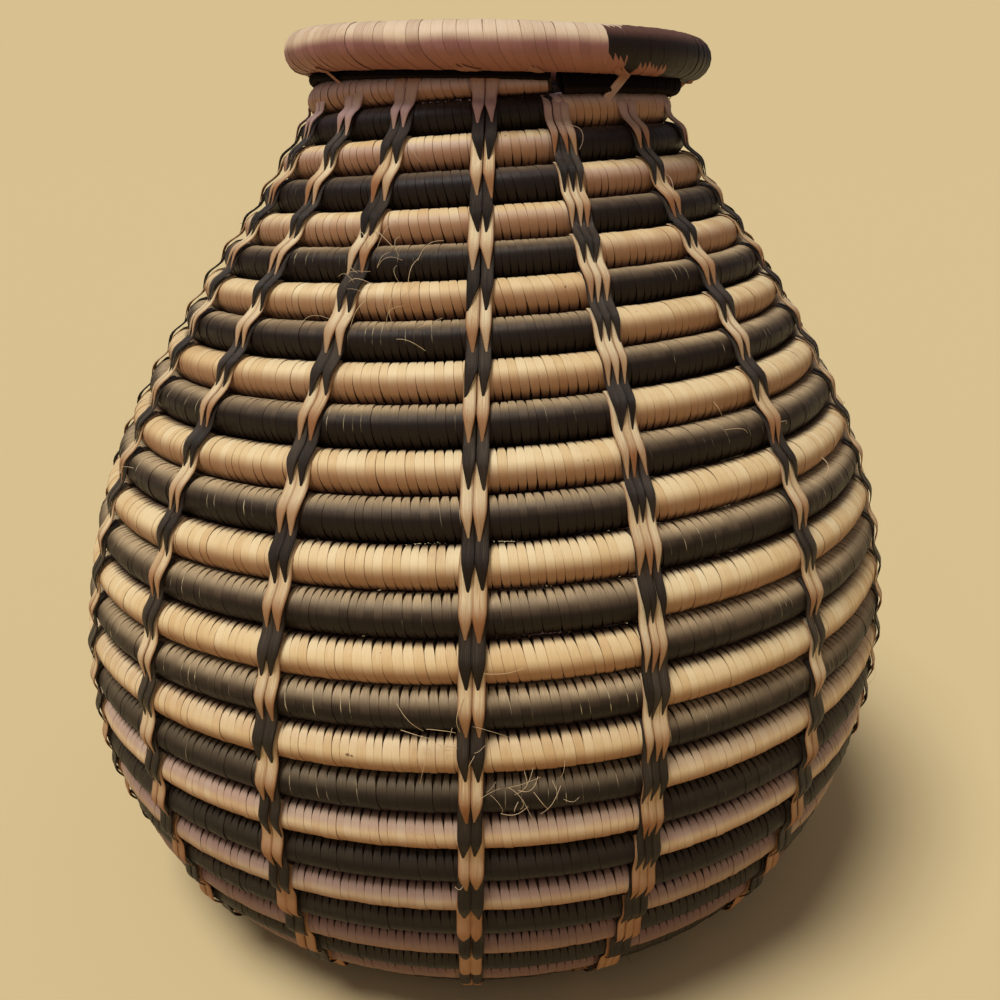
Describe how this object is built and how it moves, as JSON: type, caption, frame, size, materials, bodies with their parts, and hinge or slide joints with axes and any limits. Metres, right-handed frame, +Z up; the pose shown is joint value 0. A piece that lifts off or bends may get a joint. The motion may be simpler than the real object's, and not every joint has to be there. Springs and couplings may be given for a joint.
{
  "type": "woven basket",
  "caption": "Coiled storage basket with a wide round belly, a narrow neck, a flat base and a thick rolled rim; wrapped palm rows in light and dark with raised stitched ribs.",
  "frame": {"origin": "centre of the flat base, on the surface that the basket stands on", "axes": "+Z up through the mouth, -Y towards the front, +X to the right as the front is seen"},
  "size_m": [0.2526, 0.2527, 0.2586],
  "materials": {
    "natural_palm": "undyed palm strip, satin, with fine grain along the strip",
    "dyed_palm": "brown-black dyed palm strip, slightly glossy",
    "grass_bundle": "dry grass, matt"
  },
  "bodies": {
    "root": {"coil_start": "natural_palm", "base_coil": "natural_palm", "wall_row_01_dark": "dyed_palm", "wall_row_02_light": "natural_palm", "wall_row_03_dark": "dyed_palm", "wall_row_04_light": "natural_palm", "wall_row_05_dark": "dyed_palm", "wall_row_06_light": "natural_palm", "wall_row_07_dark": "dyed_palm", "wall_row_08_light": "natural_palm", "wall_row_09_dark": "dyed_palm", "wall_row_10_light": "natural_palm", "wall_row_11_dark": "dyed_palm", "wall_row_12_light": "natural_palm", "wall_row_13_dark": "dyed_palm", "wall_row_14_light": "natural_palm", "wall_row_15_dark": "dyed_palm", "wall_row_16_light": "natural_palm", "wall_row_17_dark": "dyed_palm", "wall_row_18_light": "natural_palm", "wall_row_19_dark": "dyed_palm", "wall_row_20_light": "natural_palm", "wall_row_21_dark": "dyed_palm", "wall_row_22_light": "natural_palm", "wall_row_23_dark": "dyed_palm", "wall_row_24_light": "natural_palm", "wall_row_25_dark": "dyed_palm", "wall_row_26_light": "natural_palm", "wall_row_27_dark": "dyed_palm", "wall_row_28_light": "natural_palm", "rib_01": "natural_palm", "rib_02": "natural_palm", "rib_03": "natural_palm", "rib_04": "natural_palm", "rib_05": "natural_palm", "rib_06": "natural_palm", "rib_07": "natural_palm", "rib_08": "natural_palm", "rib_09": "natural_palm", "rib_10": "natural_palm", "rib_11": "natural_palm", "rib_12": "natural_palm", "rib_13": "natural_palm", "rib_14": "natural_palm", "rib_15": "natural_palm", "rib_16": "natural_palm", "rim_seat_dark": "dyed_palm", "rim_core": "grass_bundle", "rim_wrap_light": "natural_palm", "rim_wrap_dark": "dyed_palm", "rim_tie_01": "natural_palm", "rim_tie_02": "natural_palm", "rim_tie_03": "natural_palm", "rim_tie_04": "natural_palm", "rim_tie_05": "natural_palm", "rim_tie_06": "natural_palm", "rim_tie_07": "natural_palm", "rim_tie_08": "natural_palm", "rim_tie_09": "natural_palm"}
  },
  "joints": []
}
